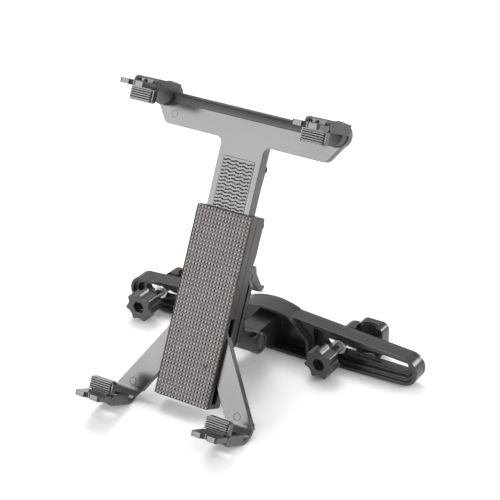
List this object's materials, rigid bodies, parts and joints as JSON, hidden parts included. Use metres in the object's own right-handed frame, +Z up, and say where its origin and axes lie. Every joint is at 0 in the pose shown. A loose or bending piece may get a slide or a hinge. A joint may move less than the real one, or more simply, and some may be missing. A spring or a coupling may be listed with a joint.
{
  "type": "headrest tablet mount",
  "caption": "Folding tablet cradle with claws on a tilting and swivelling bracket, carried by a slotted beam that star knobs clamp to headrest posts.",
  "frame": {"origin": "on the table at the middle of the beam's flat underside", "axes": "+X along the beam, -Y to the front where the pad faces, +Z up"},
  "size_m": [0.228, 0.1753, 0.2005],
  "materials": {
    "housing_plastic": "fine moulded grain",
    "moulded_plastic": "satin moulded",
    "beam_plastic": "satin moulded",
    "knob_plastic": "satin moulded",
    "pad_rubber": "woven relief",
    "lining_rubber": "smooth",
    "steel": "zinc plated",
    "dark_steel": "blackened"
  },
  "bodies": {
    "beam": {"beam_shell": "beam_plastic", "back_cover": "beam_plastic", "cover_screws": "steel"},
    "bracket": {"tilt_bracket": "moulded_plastic", "spindle_washer": "steel", "spindle_screw": "steel", "lock_pin": "steel", "hinge_bolt": "dark_steel", "hinge_nut": "steel"},
    "cradle": {"grip_pad": "pad_rubber", "front_frame": "housing_plastic", "rear_housing": "housing_plastic", "housing_screws": "steel", "leg_pin_left": "steel", "leg_pin_right": "steel", "release_pin": "steel", "index_disc": "housing_plastic"},
    "slider": {"top_bar": "moulded_plastic", "claw_pin_top_left": "steel", "claw_pin_top_right": "steel"},
    "upper_claw_left": {"claw_top_left": "moulded_plastic"},
    "upper_claw_right": {"claw_top_right": "moulded_plastic"},
    "left_leg": {"leg_left": "moulded_plastic", "claw_pin_low_left": "steel"},
    "right_leg": {"leg_right": "moulded_plastic", "claw_pin_low_right": "steel"},
    "lower_claw_left": {"claw_low_left": "moulded_plastic"},
    "lower_claw_right": {"claw_low_right": "moulded_plastic"},
    "release": {"release_lever": "moulded_plastic"},
    "lock": {"lock_lever": "moulded_plastic"},
    "carriage_left": {"washer_left": "steel"},
    "carriage_right": {"washer_right": "steel"},
    "clamp_left": {"jaw_left": "beam_plastic", "jaw_lining_left": "lining_rubber", "clamp_bolt_left": "steel"},
    "clamp_right": {"jaw_right": "beam_plastic", "jaw_lining_right": "lining_rubber", "clamp_bolt_right": "steel"},
    "star_left": {"knob_left": "knob_plastic"},
    "star_right": {"knob_right": "knob_plastic"}
  },
  "joints": [
    {"name": "tilt", "type": "hinge", "parent": "beam", "child": "bracket", "pos_m": [0, -0.03225, 0.019], "axis": [1, 0, 0], "range_deg": [-35, 35]},
    {"name": "swivel", "type": "hinge", "parent": "bracket", "child": "cradle", "pos_m": [0, -0.08291, 0.06737], "axis": [0, -0.9036, 0.4285], "continuous": true},
    {"name": "extend", "type": "slide", "parent": "cradle", "child": "slider", "axis": [0, 0.4285, 0.9036], "range_m": [-0.018, 0.024]},
    {"name": "fold_upper_left", "type": "hinge", "parent": "slider", "child": "upper_claw_left", "pos_m": [-0.0624, -0.04625, 0.19253], "axis": [-1, 0, 0], "range_deg": [0, 90]},
    {"name": "fold_upper_right", "type": "hinge", "parent": "slider", "child": "upper_claw_right", "pos_m": [0.0624, -0.04625, 0.19253], "axis": [-1, 0, 0], "range_deg": [0, 90]},
    {"name": "splay_right", "type": "hinge", "parent": "cradle", "child": "right_leg", "pos_m": [0.0085, -0.08784, 0.05698], "axis": [0, -0.9036, 0.4285], "range_deg": [-6, 14]},
    {"name": "splay_left", "type": "hinge", "parent": "cradle", "child": "left_leg", "pos_m": [-0.0085, -0.08784, 0.05698], "axis": [0, -0.9036, 0.4285], "range_deg": [-14.1, 6.1]},
    {"name": "fold_lower_left", "type": "hinge", "parent": "left_leg", "child": "lower_claw_left", "pos_m": [-0.04389, -0.13207, 0.01155], "axis": [1, 0, 0], "range_deg": [0, 90]},
    {"name": "fold_lower_right", "type": "hinge", "parent": "right_leg", "child": "lower_claw_right", "pos_m": [0.04389, -0.13207, 0.01155], "axis": [1, 0, 0], "range_deg": [0, 90]},
    {"name": "release_press", "type": "hinge", "parent": "cradle", "child": "release", "pos_m": [0, -0.04451, 0.11335], "axis": [1, 0, 0], "range_deg": [0, 7], "stiffness_Nm_per_rad": 0.06, "springref_deg": -14.32},
    {"name": "lock_press", "type": "hinge", "parent": "bracket", "child": "lock", "pos_m": [0, -0.04481, 0.0742], "axis": [1, 0, 0], "range_deg": [-8, 0], "stiffness_Nm_per_rad": 0.08, "springref_deg": 14.32},
    {"name": "along_left", "type": "slide", "parent": "beam", "child": "carriage_left", "axis": [1, 0, 0], "range_m": [-0.0095, 0.0465]},
    {"name": "knob_turn_left", "type": "hinge", "parent": "carriage_left", "child": "star_left", "pos_m": [-0.0915, -0.02045, 0.0121], "axis": [0, 1, 0], "range_deg": [-721, 1441]},
    {"name": "jaw_travel_left", "type": "slide", "parent": "carriage_left", "child": "clamp_left", "axis": [0, 1, 0], "range_m": [-0.004, 0.002]},
    {"name": "along_right", "type": "slide", "parent": "beam", "child": "carriage_right", "axis": [1, 0, 0], "range_m": [-0.008, 0.048]},
    {"name": "knob_turn_right", "type": "hinge", "parent": "carriage_right", "child": "star_right", "pos_m": [0.053, -0.02045, 0.0121], "axis": [0, 1, 0], "range_deg": [-721, 1441]},
    {"name": "jaw_travel_right", "type": "slide", "parent": "carriage_right", "child": "clamp_right", "axis": [0, 1, 0], "range_m": [-0.004, 0.002]}
  ],
  "couplings": [
    {"joint": "splay_left", "follows": "splay_right", "ratio": -1},
    {"joint": "knob_turn_left", "follows": "jaw_travel_left", "rad_per_m": -6283.2},
    {"joint": "knob_turn_right", "follows": "jaw_travel_right", "rad_per_m": -6283.2}
  ]
}
